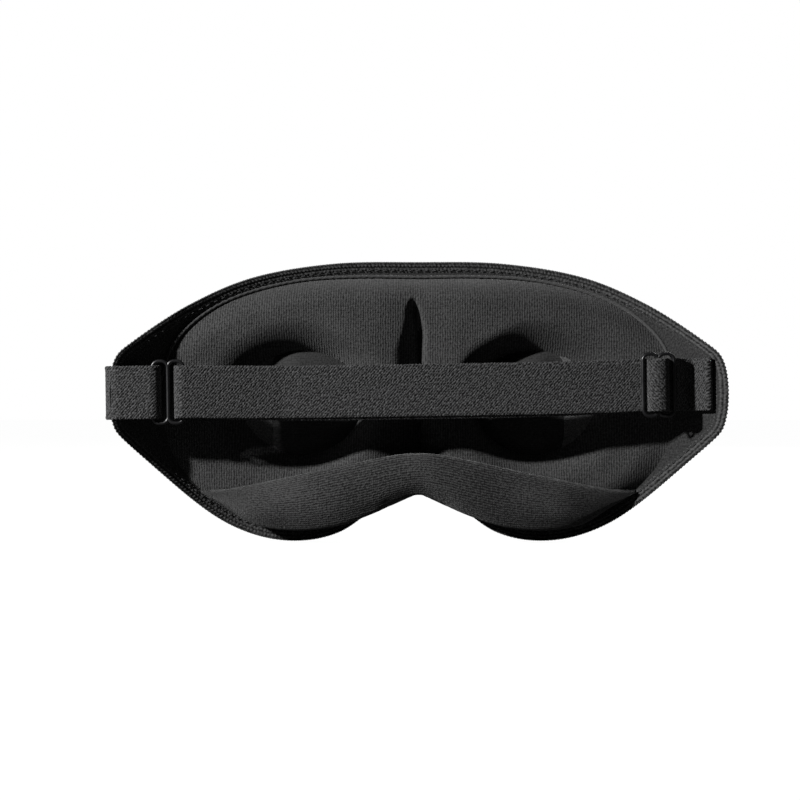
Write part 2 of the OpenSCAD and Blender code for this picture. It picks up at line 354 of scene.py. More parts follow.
def columns(ring, spacing, rows):
    """Grid of places that fills a ring by columns, closer together near the edges."""
    crowding_x, crowding_z = 0.35, 0.45
    top_at, bottom_at, half = edges_of(ring)
    half *= 0.9985      # a hair short of the tips, where a column would have no height
    even = np.linspace(-1, 1, int(2 * half / spacing))
    across = half * (even + crowding_x * (np.sin(even * math.pi / 2) - even))
    share = np.linspace(0, 1, rows)
    share = share + crowding_z * ((1 - np.cos(math.pi * share)) / 2 - share)
    x = np.repeat(across[:, None], rows, 1)
    z = bottom_at(x) + (top_at(x) - bottom_at(x)) * share[None, :]
    return x, z


def stack(x, y, z):
    """Points from their three coordinates."""
    return np.stack(np.broadcast_arrays(x, y, z), -1)


# ---------------------------------------------------------------- materials


class Shader:
    """A node material with a principled surface, and short calls to add nodes."""

    def __init__(self, name):
        self.material = bpy.data.materials.new(name)
        self.material.use_nodes = True
        self.tree = self.material.node_tree
        self.surface = self.tree.nodes["Principled BSDF"]

    def node(self, kind, **values):
        made = self.tree.nodes.new(kind)
        for key, value in values.items():
            setattr(made, key, value)
        return made

    def link(self, source, target):
        if isinstance(source, (int, float)):
            target.default_value = source
        else:
            self.tree.links.new(source, target)

    def math(self, operation, a, b=0.0, c=0.0):
        made = self.node("ShaderNodeMath", operation=operation)
        for value, socket in zip((a, b, c), made.inputs):
            self.link(value, socket)
        return made.outputs[0]

    def uv(self):
        """Place on the cloth, in millimetres, as two sockets."""
        source = self.node("ShaderNodeUVMap", uv_map="cloth")
        split = self.node("ShaderNodeSeparateXYZ")
        self.link(source.outputs[0], split.inputs[0])
        return source.outputs[0], split.outputs[0], split.outputs[1]

    def noise(self, where, scale, detail=2.0):
        made = self.node("ShaderNodeTexNoise")
        self.link(where, made.inputs["Vector"])
        made.inputs["Scale"].default_value = scale
        made.inputs["Detail"].default_value = detail
        return made.outputs["Fac"]

    def contrast(self, factor, k):
        """Stretches a factor away from its middle, and keeps it from 0 to 1."""
        made = self.node("ShaderNodeMath", operation="MULTIPLY_ADD", use_clamp=True)
        for value, socket in zip((factor, k, 0.5 - 0.5 * k), made.inputs):
            self.link(value, socket)
        return made.outputs[0]

    def wave(self, u, pitch, shift=0.0):
        """A wave from 0 to 1 along u."""
        turned = self.math("MULTIPLY_ADD", u, 2 * math.pi / pitch, shift)
        return self.math("MULTIPLY_ADD", self.math("COSINE", turned), 0.5, 0.5)

    def ramp(self, factor, low, high):
        made = self.node("ShaderNodeMix", data_type="RGBA")
        self.link(factor, made.inputs["Factor"])
        made.inputs["A"].default_value = (*low, 1)
        made.inputs["B"].default_value = (*high, 1)
        return made.outputs["Result"]

    def bump(self, height, distance, strength=1.0):
        made = self.node("ShaderNodeBump")
        made.inputs["Strength"].default_value = strength
        made.inputs["Distance"].default_value = distance * MM
        self.link(height, made.inputs["Height"])
        self.link(made.outputs[0], self.surface.inputs["Normal"])

    def colour(self, factor, base, low, high):
        """Base colour from low times the base to high times it."""
        self.link(self.ramp(factor, scaled(base, low), scaled(base, high)),
                  self.surface.inputs["Base Color"])

    def finish(self, roughness, sheen, specular=0.25):
        s = self.surface.inputs
        self.link(roughness, s["Roughness"])
        s["Sheen Weight"].default_value = sheen
        s["Sheen Roughness"].default_value = 0.45
        s["Specular IOR Level"].default_value = specular
        return self.material


def scaled(colour, k):
    """A colour made k times as light."""
    return tuple(c * k for c in colour)


def rib_knit():
    """Fine vertical ribs, each a column of small loops."""
    m = Shader("rib_knit")
    where, u, v = m.uv()
    wander = m.math("MULTIPLY", m.noise(where, 0.35, 2), 0.8)
    rib = m.wave(m.math("ADD", u, wander), 0.86)
    loop = m.wave(m.math("MULTIPLY_ADD", rib, 0.4, v), 0.75)
    grain = m.contrast(m.noise(where, 1.3, 3), 3.6)
    patch = m.noise(where, 0.08, 3)
    height = m.math("ADD", m.math("MULTIPLY", rib, 0.4), m.math("MULTIPLY", loop, 0.15))
    height = m.math("MULTIPLY_ADD", grain, 0.45, height)
    shade = m.math("MULTIPLY_ADD", patch, 0.25, m.math("MULTIPLY", height, 0.75))
    m.colour(m.contrast(shade, 1.6), (0.044, 0.044, 0.044), 0.15, 1.9)
    m.bump(height, 0.24)
    return m.finish(0.9, 0.15)


def flap_fabric():
    """Smooth brushed knit with faint ribs that run along the flap."""
    m = Shader("flap_fabric")
    where, u, v = m.uv()
    row = m.wave(m.math("MULTIPLY_ADD", m.noise(where, 0.4, 2), 0.7, v), 0.82)
    cross = m.wave(m.math("MULTIPLY_ADD", row, 0.3, u), 0.7)
    grain = m.contrast(m.noise(where, 1.3, 3), 3.6)
    patch = m.contrast(m.noise(where, 0.05, 3), 1.6)
    height = m.math("ADD", m.math("MULTIPLY", row, 0.4), m.math("MULTIPLY", cross, 0.15))
    height = m.math("MULTIPLY_ADD", grain, 0.45, height)
    shade = m.math("MULTIPLY_ADD", patch, 0.3, m.math("MULTIPLY", height, 0.7))
    m.colour(m.contrast(shade, 2.4), (0.034, 0.034, 0.034), 0.1, 2.0)
    m.bump(height, 0.32)
    return m.finish(0.88, 0.15)


def outer_jersey():
    """Plain jersey of the outer cover, with loops on two slants."""
    m = Shader("outer_fabric")
    where, u, v = m.uv()
    pitch = 0.8
    a = m.wave(m.math("ADD", u, v), pitch)
    b = m.wave(m.math("SUBTRACT", u, v), pitch)
    knit = m.math("MAXIMUM", a, b)
    grain = m.contrast(m.noise(where, 1.6, 3), 2.4)
    patch = m.noise(where, 0.09, 3)
    height = m.math("MULTIPLY_ADD", grain, 0.6, m.math("MULTIPLY", knit, 0.4))
    shade = m.math("MULTIPLY_ADD", patch, 0.3, m.math("MULTIPLY", height, 0.7))
    m.colour(shade, (0.034, 0.034, 0.035), 0.2, 1.8)
    m.bump(height, 0.12, 0.9)
    return m.finish(0.92, 0.15)


def binding_knit():
    """Heavy knit whose rows of loops run along the mask's edge."""
    m = Shader("binding_knit")
    where, u, v = m.uv()
    row = m.wave(v, ROW_PITCH)
    loop = m.wave(m.math("MULTIPLY_ADD", m.noise(where, 0.6, 2), 1.5, u), LOOP_PITCH)
    grain = m.contrast(m.noise(where, 1.2, 3), 4.0)
    height = m.math("MULTIPLY_ADD", row, 0.45, m.math("MULTIPLY", loop, 0.15))
    height = m.math("MULTIPLY_ADD", grain, 0.4, height)
    m.colour(m.contrast(height, 1.8), (0.042, 0.042, 0.042), 0.1, 2.0)
    m.bump(height, 0.25)
    return m.finish(0.92, 0.15)


def lining_fabric():
    """Lining, fine with faint level ribs in the eye recesses and coarse and darker on the wings."""
    m = Shader("lining_fabric")
    where, u, v = m.uv()
    row = m.wave(v, 0.8)
    fine = m.math("MULTIPLY_ADD", m.contrast(m.noise(where, 1.5, 3), 2.4), 0.62,
                  m.math("MULTIPLY", row, 0.16))
    coarse = m.contrast(m.noise(where, 1.3, 3), 3.2)
    from_middle = m.math("ABSOLUTE", m.math("SUBTRACT", u, WING_MIDDLE))
    wing = m.math("GREATER_THAN", from_middle, COARSE_FROM)
    height = m.math("ADD", m.math("MULTIPLY", fine, m.math("SUBTRACT", 1.0, wing)),
                    m.math("MULTIPLY", coarse, wing))
    tone = m.math("MULTIPLY", height, m.math("MULTIPLY_ADD", wing, -0.35, 1.0))
    m.colour(tone, (0.04, 0.04, 0.04), 0.35, 1.55)
    m.bump(height, 0.25)
    return m.finish(0.9, 0.15)


def elastic():
    """Woven elastic with a slanting twill and a speckle of covered rubber threads."""
    m = Shader("elastic")
    where, u, v = m.uv()
    wobble = m.math("MULTIPLY", m.noise(where, 0.9, 2), 1.3)
    slant = m.math("ADD", m.math("MULTIPLY_ADD", v, 0.9, u), wobble)
    twill = m.wave(slant, 1.05)
    row = m.wave(v, 0.85)
    speck = m.contrast(m.noise(where, 1.25, 3), 4.5)
    height = m.math("ADD", m.math("MULTIPLY", twill, 0.38), m.math("MULTIPLY", row, 0.1))
    height = m.math("MULTIPLY_ADD", speck, 0.52, height)
    m.colour(m.contrast(height, 1.7), (0.04, 0.04, 0.0405), 0.05, 2.2)
    m.bump(height, 0.42)
    return m.finish(0.8, 0.2)


def twisted_cord():
    """Twisted cord."""
    m = Shader("piping_cord")
    where, u, v = m.uv()
    twist = m.wave(m.math("ADD", u, v), 0.7)
    grain = m.noise(where, 3.0, 2)
    height = m.math("MULTIPLY_ADD", grain, 0.5, m.math("MULTIPLY", twist, 0.5))
    m.colour(height, (0.055, 0.055, 0.055), 0.5, 1.5)
    m.bump(height, 0.1, 0.8)
    return m.finish(0.7, 0.3)


def solid_foam():
    """Open-cell foam."""
    m = Shader("foam")
    place = m.node("ShaderNodeTexCoord").outputs["Object"]
    cells = m.node("ShaderNodeTexVoronoi", feature="F1")
    m.link(place, cells.inputs["Vector"])
    cells.inputs["Scale"].default_value = 2200
    m.link(m.ramp(cells.outputs["Distance"], (0.05, 0.05, 0.05), (0.16, 0.16, 0.16)),
           m.surface.inputs["Base Color"])
    m.bump(cells.outputs["Distance"], 0.2)
    return m.finish(0.95, 0)


def moulded_plastic():
    """Gloss black plastic with faint mould texture and handling marks."""
    m = Shader("buckle_plastic")
    place = m.node("ShaderNodeTexCoord").outputs["Object"]
    grain = m.noise(place, 900, 3)
    wear = m.noise(place, 160, 3)
    m.link(m.ramp(wear, (0.006, 0.006, 0.0065), (0.014, 0.014, 0.015)),
           m.surface.inputs["Base Color"])
    m.bump(grain, 0.02, 0.5)
    return m.finish(m.math("MULTIPLY_ADD", wear, 0.25, 0.2), 0, 0.6)


def object_thread():
    """Thread finish for stitches that carry no cloth places of their own."""
    m = Shader("stitch_thread")
    place = m.node("ShaderNodeTexCoord").outputs["Object"]
    twist = m.noise(place, 2600, 2)
    m.link(m.ramp(twist, (0.012, 0.012, 0.0125), (0.06, 0.06, 0.062)),
           m.surface.inputs["Base Color"])
    m.bump(twist, 0.08)
    return m.finish(0.65, 0.3)


MATERIALS = {
    "rib_knit": rib_knit(),
    "flap_fabric": flap_fabric(),
    "lining_fabric": lining_fabric(),
    "binding_knit": binding_knit(),
    "outer_fabric": outer_jersey(),
    "elastic": elastic(),
    "piping_cord": twisted_cord(),
    "thread": object_thread(),
    "foam": solid_foam(),
    "buckle_plastic": moulded_plastic(),
}


def dress(obj, slot):
    """Gives an object the finish of a material slot."""
    obj.data.materials.clear()
    obj.data.materials.append(MATERIALS[slot])
    return obj


def piece(obj, body, slot, *nodes):
    """Gives a piece its finish, its body and the CAD nodes it stands for."""
    dress(obj, slot)
    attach(obj, body)
    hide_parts(*nodes)
    return obj


# ---------------------------------------------------------------- mask body


def sheet_piece(name, ring, spacing, rows, front_t, back_t, bulge=None):
    """A layer of the bent shell, between two depths behind the lining's face."""
    x, z = columns(ring, spacing, rows)
    lift = -rim_roll(x, distance_inside(OUTLINE, x, z))
    if bulge is not None:
        lift = lift + bulge(x, z)
    front = stack(x, sheet_y(x, front_t) + lift, z)
    back = stack(x, sheet_y(x, back_t) + lift, z)
    along = np.interp(x, PLAN[:, 0], lengths(PLAN))
    return slab(name, front, back, np.stack([along, z], -1))


def outer_bulge(x, z):
    """The outer face bulges over the two eyes."""
    dome = np.exp(-(((np.abs(x) - RECESS_X) / 25) ** 2) - ((z - RECESS_Z) / 20) ** 2)
    return 2.6 * dome


def eye_crown(x, z):
    """The lining crowns a little towards the eye, most on the nose side of each recess."""
    return -EYE_CROWN * smooth((4 - recess_reach(x, z)) / 9) * smooth((53 - np.abs(x)) / 12)


def lining():
    ring = inset(OUTLINE, LAYER_INSET)
    return sheet_piece("inner_lining_fabric", ring, 0.5, 150, 0, SKIN_T, eye_crown)


def outer_cover():
    ring = inset(OUTLINE, LAYER_INSET)
    return sheet_piece("outer_cover_fabric", ring, 0.8, 80, SHELL_T - SKIN_T, SHELL_T, outer_bulge)


def shell_core():
    """The foam between the two fabrics. It reaches into the binding."""
    ring = inset(OUTLINE, 1.3)
    return sheet_piece("foam_shell_core", ring, 1.2, 50, SKIN_T + 0.1, SHELL_T - SKIN_T - 0.1)


def rounded_section(width, thick, count, power=0.55):
    """Evenly spaced places round a soft-cornered section, as shares of its width and depth."""
    a = np.linspace(0, 2 * math.pi, 720, endpoint=False)
    across = 0.5 - 0.5 * np.sign(np.cos(a)) * np.abs(np.cos(a)) ** power
    through = 0.5 - 0.5 * np.sign(np.sin(a)) * np.abs(np.sin(a)) ** power
    places = evenly(np.stack([across * width, through * thick], 1), 0.001, closed=True)
    pick = np.linspace(0, len(places), count, endpoint=False).astype(int)
    return places[pick, 0] / width, places[pick, 1] / thick


def binding():
    """A knitted band rolled round the mask's edge, with rows of loops along it."""
    ring = evenly(OUTLINE, 0.42, closed=True)
    inward = -left_of(tangents(ring, closed=True))
    across, through = rounded_section(BAND_W, SHELL_T + 2 * LIP, 64)
    place = ring[:, None, :] + inward[:, None, :] * (across * BAND_W)[None, :, None]
    roll = rim_roll(place[..., 0], across[None, :] * BAND_W)
    near = sheet_y(place[..., 0], 0) - LIP - roll
    far = sheet_y(place[..., 0], SHELL_T) + LIP - roll
    grid = stack(place[..., 0], near + (far - near) * through[None, :], place[..., 1])
    s, total = lengths(ring, closed=True)
    v = np.concatenate([[0], np.cumsum(np.linalg.norm(np.diff(grid[0], axis=0), axis=1))])
    s2, v2 = np.meshgrid(s, v, indexing="ij")
    pitch = total / round(total / LOOP_PITCH)
    line = np.round(v2 / ROW_PITCH)
    loops = 0.5 + 0.5 * np.cos(2 * math.pi * (s2 / pitch + 0.5 * line))
    ridge = np.abs(np.cos(math.pi * v2 / ROW_PITCH)) ** 0.8
    height = 0.6 * ridge * (0.35 + 0.65 * loops) - 0.35
    n = normals(grid, True, True)
    return tube("edge_binding_band", grid - n * height[..., None], np.stack([s2, v2], -1), True)


# ---------------------------------------------------------------- face pad


def recess_reach(x, z):
    """Distance out from the edge of an eye recess's floor. It is less than 0 over the floor."""
    half_h = np.where(z > RECESS_Z, FLOOR_TOP_H, FLOOR_LOW_H)
    dx = (np.abs(x) - RECESS_X) / FLOOR_HALF_W
    dz = (z - RECESS_Z) / half_h
    ratio = np.maximum(np.hypot(dx, dz), 1e-6)
    steepness = np.hypot(dx / FLOOR_HALF_W, dz / half_h) / ratio
    return (ratio - 1) / np.maximum(steepness, 1e-6)


def recess_wall(x, z):
    """0 at the foot of an eye recess's wall, rising over a soft lip to 1 on the pad's crest."""
    nose_side = smooth(1.2 * (RECESS_X - np.abs(x)) / FLOOR_HALF_W)
    t = recess_reach(x, z) / (RECESS_LIP * (1 - 0.2 * nose_side))
    return np.where(t < 0, 2 * t, 1 - (1 - np.clip(t, 0, 1)) ** 2)


def brow_crease(x, z):
    """Depth of the crease between the brows, and of the channel for the nose below it.

    The crease leans: its left side is a slow slope and its right side a steep one."""
    below = CREASE_TOP - z
    flare = 8 * smooth((below - 36) / 20)
    middle = -1.4 + 2.3 * smooth(below / 14)
    left = 3.2 + 6.3 * smooth(below / 22) + flare
    right = 2.2 + flare
    across = np.where(x < middle, (middle - x) / left, (x - middle) / right)
    above = np.clip((CREASE_ROUND - below) / CREASE_ROUND, 0, None)
    g = np.clip(np.hypot(across, above), 0, 1)
    return CREASE_DEPTH * (1 - g) ** 1.5


def pad_face(x, z, edge):
    """Depth of the pad's face. edge is the distance in from the pad's outline."""
    base = sheet_y(x)
    crest = np.interp(x, FACE[:, 0], FACE[:, 1])
    thick = base - crest
    shoulder = 1 - (1 - np.clip(edge / PAD_SHOULDER_W, 0, 1)) ** 2.4
    rise = soft_min(shoulder, recess_wall(x, z), 0.04) * thick
    rise = np.maximum(rise - brow_crease(x, z), np.minimum(rise, 1.0))
    return base - np.maximum(rise, -FLOOR_SINK)


def pad_pieces():
    """The pad's knit cover, and its foam just inside it."""
    x, z = columns(PAD_OUTLINE, 0.42, 170)
    edge = distance_inside(PAD_OUTLINE, x, z)
    y = pad_face(x, z, edge)
    front = stack(x, y, z)
    back = stack(x, sheet_y(x, 0.45), z)
    cover = slab("pad_cover_knit", front, back, np.stack([x, z], -1))
    piece(cover, "mask", "rib_knit", "pad_cover")

    x, z = columns(inset(PAD_OUTLINE, 1.0), 1.6, 60)
    edge = distance_inside(PAD_OUTLINE, x, z)
    low = sheet_y(x, -0.15)
    y = np.minimum(pad_face(x, z, edge) + 1.0, low - 0.05)
    core = slab("pad_foam_core", stack(x, y, z), stack(x, low, z), np.stack([x, z], -1))
    piece(core, "mask", "foam", "pad_foam")


TOWARDS_WEARER = np.array([[0.0, -1.0, 0.0]])


def side_of(path):
    """Unit directions square to a path and to the way towards the wearer."""
    side = np.cross(tangents(path), TOWARDS_WEARER)
    return side / np.linalg.norm(side, axis=1, keepdims=True)


def rings_round(path, first, second, sides):
    """Oval rings of points round a path, from two half-axes at each of its points."""
    a = np.linspace(0, 2 * math.pi, sides, endpoint=False)
    grid = (path[:, None, :] + first[:, None, :] * np.cos(a)[None, :, None]
            + second[:, None, :] * np.sin(a)[None, :, None])
    s2, a2 = np.meshgrid(lengths(path), a, indexing="ij")
    return grid, s2, a2


def piping():
    """A twisted cord along the upper part of the pad's seam."""
    radius = 0.5
    turn = 2.4
    ring = evenly(inset(PAD_OUTLINE, -0.75), 0.3, closed=True)
    start = int(np.argmin(ring[:, 0]))
    ring = np.roll(ring, -start, 0)
    top = ring[: int(np.argmax(ring[:, 0]))]
    top = top[top[:, 1] > 1.0]
    path = stack(top[:, 0], sheet_y(top[:, 0]) - radius * 0.9, top[:, 1])
    side = side_of(path)
    front = np.cross(side, tangents(path))
    grid, s2, a2 = rings_round(path, radius * side, radius * front, 14)
    twist = 1 + 0.09 * np.cos(2 * a2 - 2 * math.pi * s2 / turn)
    grid = path[:, None, :] + (grid - path[:, None, :]) * twist[..., None]
    return tube("pad_piping_cord", grid, np.stack([s2, a2 * radius], -1))


def stitch_row(name, places, along, out):
    """Short threads that dip into the cloth at both ends."""
    length, radius = 1.6, 0.17
    sides, rings = 8, 7
    a = np.linspace(0, 2 * math.pi, sides, endpoint=False)
    t = np.linspace(-1, 1, rings)
    points, faces, uv = [], [], []
    for place, way, up in zip(places, along, out):
        side = np.cross(way, up)
        bow = (1 - t**2) * 0.32 - 0.1
        fat = radius * np.sqrt(np.maximum(1 - t**4 * 0.97, 0.03))
        centre = place + np.outer(t * length / 2, way) + np.outer(bow, up)
        ring = (centre[:, None, :] + side * (np.cos(a)[None, :] * fat[:, None])[..., None]
                + up * (np.sin(a)[None, :] * fat[:, None])[..., None])
        offset = len(points) * rings * sides
        faces += quads(rings, sides, closed_cols=True, offset=offset)
        faces.append([offset + k for k in range(sides)])
        faces.append([offset + (rings - 1) * sides + k for k in range(sides)][::-1])
        points.append(ring.reshape(-1, 3))
        uv.append(np.stack(np.broadcast_arrays(t[:, None] * length, a[None, :] * radius), -1))
    flat = np.concatenate([u.reshape(-1, 2) for u in uv])
    return make_mesh(name, np.concatenate(points), faces, flat)


def edge_stitches():
    """A row of stitches on the binding that stops short of the wings' ends."""
    row_inset = 3.0
    ring = evenly(inset(OUTLINE, row_inset), 2.9, closed=True)
    t2 = tangents(ring, closed=True)
    keep = np.abs(ring[:, 0]) < 0.93 * HALF_W
    ring, t2 = ring[keep], t2[keep]
    lift = LIP + 0.12 + rim_roll(ring[:, 0], row_inset)
    places = stack(ring[:, 0], sheet_y(ring[:, 0]) - lift, ring[:, 1])
    slope = sheet_y(ring[:, 0] + 0.5) - sheet_y(ring[:, 0] - 0.5)
    along = stack(t2[:, 0], t2[:, 0] * slope, t2[:, 1])
    along /= np.linalg.norm(along, axis=1, keepdims=True)
    out = stack(slope, -np.ones(len(slope)), np.zeros(len(slope)))
    out /= np.linalg.norm(out, axis=1, keepdims=True)
    return stitch_row("edge_stitching_thread", places, along, out)


# ---------------------------------------------------------------- nose flap

HALF_FLAP_TOP = [(0, -21.3), (20, -24.0), (44, -29.4), (62, -33), (76.5, -34.6)]
HALF_FLAP_LOW = [
    (0, 0.8 - NOTCH), (8.5, -1.8 - NOTCH), (16, -5.6 - NOTCH), (28, 6.3 - LOBE),
    (42, 4.7 - LOBE), (56, 6.4 - LOBE), (67, 12.4 - LOBE), (76.5, 17.4 - LOBE),
]
HALF_FLAP_FRONT = [(0, -20.4), (20, -20.0), (40, -18.2), (55, -15.6), (66, -12.4), (76.5, -8.5)]
FLAP_TOP = spline(mirrored(HALF_FLAP_TOP) + HALF_FLAP_TOP[1:], 12)
FLAP_LOW = spline(mirrored(HALF_FLAP_LOW) + HALF_FLAP_LOW[1:], 12)
FLAP_FRONT = spline(mirrored(HALF_FLAP_FRONT) + HALF_FLAP_FRONT[1:], 12)
FLAP_HALF_W = 75.5
CLOTH_FRAMES = 20
FLAP_PRESSURE = 12.0
FLAP_CAP = 1.6              # the furthest the cloth run may move a point


def flap_section(seam, front, low, top, bulge):
    """Depth and height round the flap: seam, underside, padded front, free edge and back."""
    rise = top - low
    return [
        (seam, low + 0.5), ((seam + front) / 2, low), (front + 2.2, low),
        (front + 0.1 * bulge, low + 0.08 * rise + 0.4), (front - 0.8 * bulge, low + 0.28 * rise),
        (front - bulge, low + 0.55 * rise), (front - 0.45 * bulge, low + 0.82 * rise),
        (front + 0.4, top - 0.4), (front + 1.2, top + 0.15), (front + 2.0, top - 0.5),
        (front + 2.4 - 0.3 * bulge, low + 0.65 * rise), (front + 2.9, low + 0.32 * rise),
        ((seam + front) / 2 + 0.8, low + 0.12 * rise + 0.8), (seam + 0.1, low + 1.6),
    ]


def flap_grid(across, around, shrink=0.0):
    """The flap's padded section swept from tip to tip."""
    x = np.linspace(-FLAP_HALF_W, FLAP_HALF_W, across)
    top = np.interp(x, FLAP_TOP[:, 0], FLAP_TOP[:, 1])
    low = np.interp(x, FLAP_LOW[:, 0], FLAP_LOW[:, 1])
    front = np.interp(x, FLAP_FRONT[:, 0], FLAP_FRONT[:, 1])
    seam = sheet_y(x) - 1.0
    bulge = 1.9 * smooth((77 - np.abs(x)) / 30)
    share = np.linspace(0, 1, around, endpoint=False)
    grid = np.empty((across, around, 3))
    for i in range(across):
        section = flap_section(seam[i], front[i], low[i], top[i], bulge[i])
        loop = spline(section, 10, closed=True)
        along, total = lengths(loop, closed=True)
        along = np.append(along, total) / total
        loop = np.concatenate([loop, loop[:1]])
        yz = np.stack([np.interp(share, along, loop[:, k]) for k in range(2)], 1)
        middle = yz.mean(0)
        yz = middle + (yz - middle) * (1 - shrink)
        grid[i] = np.concatenate([np.full((around, 1), x[i]), yz], 1)
    return grid


def puffed(grid, held):
    """How far a short cloth run moves the points of a closed grid. held points stay put."""
    scene = bpy.context.scene
    obj = tube("cloth_run", grid, np.zeros((*grid.shape[:2], 2)))
    group = obj.vertex_groups.new(name="held")
    group.add(np.flatnonzero(held).tolist(), 1.0, "REPLACE")
    cloth = obj.modifiers.new("padding", "CLOTH")
    cloth.settings.quality = 6
    cloth.settings.mass = 0.15
    cloth.settings.use_pressure = True
    cloth.settings.uniform_pressure_force = FLAP_PRESSURE
    cloth.settings.effector_weights.gravity = 0
    cloth.settings.vertex_group_mass = "held"
    for number in range(1, CLOTH_FRAMES + 1):
        scene.frame_set(number)
    swollen = obj.evaluated_get(bpy.context.evaluated_depsgraph_get())
    points = np.empty(3 * len(obj.data.vertices))
    swollen.data.vertices.foreach_get("co", points)
    bpy.data.objects.remove(obj)
    scene.frame_set(1)
    shift = points.reshape(grid.shape) / MM - grid
    size = np.linalg.norm(shift, axis=2, keepdims=True)
    return shift * np.minimum(1, FLAP_CAP / np.maximum(size, 1e-6))


def spread(shift, rows, cols):
    """A coarse grid of moves, made as fine as another grid that joins up round its columns."""
    shift = np.concatenate([shift, shift[:, :1]], 1)
    at_row = np.linspace(0, shift.shape[0] - 1, rows)
    at_col = np.linspace(0, shift.shape[1] - 1, cols, endpoint=False)
    i, j = np.floor(at_row).astype(int), np.floor(at_col).astype(int)
    i = np.minimum(i, shift.shape[0] - 2)
    a, b = smooth(at_row - i)[:, None, None], smooth(at_col - j)[None, :, None]
    top = shift[i][:, j] * (1 - b) + shift[i][:, j + 1] * b
    low = shift[i + 1][:, j] * (1 - b) + shift[i + 1][:, j + 1] * b
    return top * (1 - a) + low * a


def flap_padding(rows, cols):
    """The flap's filling pushes its cover out, while the seam, the tips and the hem hold it."""
    grid = flap_grid(76, 36)
    x, y = grid[..., 0], grid[..., 1]
    held = (y > sheet_y(x) - 3.2) | (np.abs(x) > FLAP_HALF_W - 4)
    return spread(puffed(grid, held), rows, cols)


def flap_piece(name, grid, slot, node):
    """A closed piece of the flap."""
    around = lengths(grid[len(grid) // 2])
    u, v = np.meshgrid(grid[:, 0, 0], around, indexing="ij")
    obj = tube(name, grid, np.stack([u, v], -1))
    dress(obj, slot)
    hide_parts(node)
    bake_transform(obj)


def flap_pieces():
    grid = flap_grid(330, 72)
    grid = grid + flap_padding(*grid.shape[:2])
    flap_piece("nose_flap_cover_fabric", grid, "flap_fabric", "nose_flap_cover")
    core = flap_grid(90, 24, shrink=0.35)
    flap_piece("nose_flap_foam_core", core, "foam", "nose_flap_foam")


def flap_hem():
    """The sewn turning under the flap's lower edge."""
    half_w, half_depth, half_height = 73, 1.0, 1.3
    x = np.linspace(-half_w, half_w, 300)
    low = np.interp(x, FLAP_LOW[:, 0], FLAP_LOW[:, 1])
    path = stack(x, sheet_y(x) - 1.2, low + 1.4)
    depth, height = half_depth * TOWARDS_WEARER, half_height * side_of(path)
    grid, s2, a2 = rings_round(path, depth, height, 16)
    return tube("nose_flap_hem_fabric", grid, np.stack([s2, a2], -1))


# ---------------------------------------------------------------- strap

FRONT_RUN_Y = BUCKLE_Y + 2
RETURN_RUN_Y = FRONT_RUN_Y + STRAP_T + 0.1
END_RUN_Y = RETURN_RUN_Y + STRAP_T + 0.1
FOOT_X = 5.9                # where the hump over the adjuster meets the runs on either side
FOOT_R = 0.8                # bend radius of its tight corners
FOLD_R = 2.6
SETTLE = 13.0               # length over which the two runs draw together beside the fold
SLIDE_END_X = -46.0         # the runs are parallel from here to the adjuster, so it can slide
STRAP_GAP = 0.3
STRAP_STEP = 0.42           # spacing of the rings that a strap is made of
SELVAGE_W = 1.3
TWILL_PITCH = 1.3
ROPE_PITCH = 1.15
BACK_UV = 40                # keeps the weave of a strap's two faces apart

WING_ALONG = np.array(WING_END) - np.array(HALF_PLAN[-2])
WING_ALONG = WING_ALONG / np.linalg.norm(WING_ALONG)
WING_OUT = np.array([-WING_ALONG[1], WING_ALONG[0]])
WING_ANGLE = math.degrees(math.atan2(WING_ALONG[1], WING_ALONG[0]))


def by_wing(d, t):
    """A point by the right wing's end: d back from the end and t out of its lining."""
    return np.array(WING_END) - d * WING_ALONG + t * WING_OUT


def root_path():
    """The sewn root on the wing's inner face, and the fold that turns it to the centre line."""
    t = -LIP - STRAP_GAP - STRAP_T / 2
    fold_r = 1.2
    centre = by_wing(1.5, t) - fold_r * WING_OUT
    return np.concatenate([[by_wing(10, t)], arc(centre, fold_r, WING_ANGLE + 90, -90)])


def tab_path():
    """Outer face of the wing, round its end, round the buckle's bar and onto the inner face."""
    t = SHELL_T + LIP + STRAP_GAP + STRAP_T / 2
    loop_r = 2.9
    front_y = BUCKLE_Y - 2.3
    radius = (by_wing(0, t)[1] - front_y) / (1 + math.cos(math.radians(WING_ANGLE)))
    centre = by_wing(0, t) - radius * WING_OUT
    bar = (BAR_PITCH - BUCKLE_X + 0.6, front_y + loop_r)
    return np.concatenate([
        [by_wing(9, t)], arc(centre, radius, WING_ANGLE + 90, -90, 24),
        arc(bar, loop_r, 270, 90, 24), root_path()[::-1],
    ])


def front_path():
    """From the right wing's root, behind the adjuster, to the fold at the left buckle."""
    fold = (BUCKLE_X + BAR_PITCH, BUCKLE_Y)
    foot = (ADJUSTER_X + FOOT_X, FRONT_RUN_Y)
    tail = [(93, FRONT_RUN_Y + 4.2), (90, FRONT_RUN_Y + 3.6), (87.5, FRONT_RUN_Y + 1.4), foot]
    return np.concatenate([
        root_path(), spline(tail, 8), [(SLIDE_END_X, FRONT_RUN_Y)],
        [(fold[0] + SETTLE, BUCKLE_Y - 0.2 - STRAP_T / 2)],
        arc(fold, FOLD_R, 270, 90, 24),
        [(fold[0] + 3, BUCKLE_Y + 1.9 + STRAP_T / 2)],
    ])


def return_path():
    """From the fold back to the adjuster, behind the front run."""
    fold_x = BUCKLE_X + BAR_PITCH
    return np.array([
        (fold_x + 2, BUCKLE_Y + 2.0 + STRAP_T / 2), (fold_x + SETTLE, BUCKLE_Y + 1.3 + STRAP_T / 2),
        (SLIDE_END_X, RETURN_RUN_Y), (ADJUSTER_X - FOOT_X - 0.1, RETURN_RUN_Y),
    ])


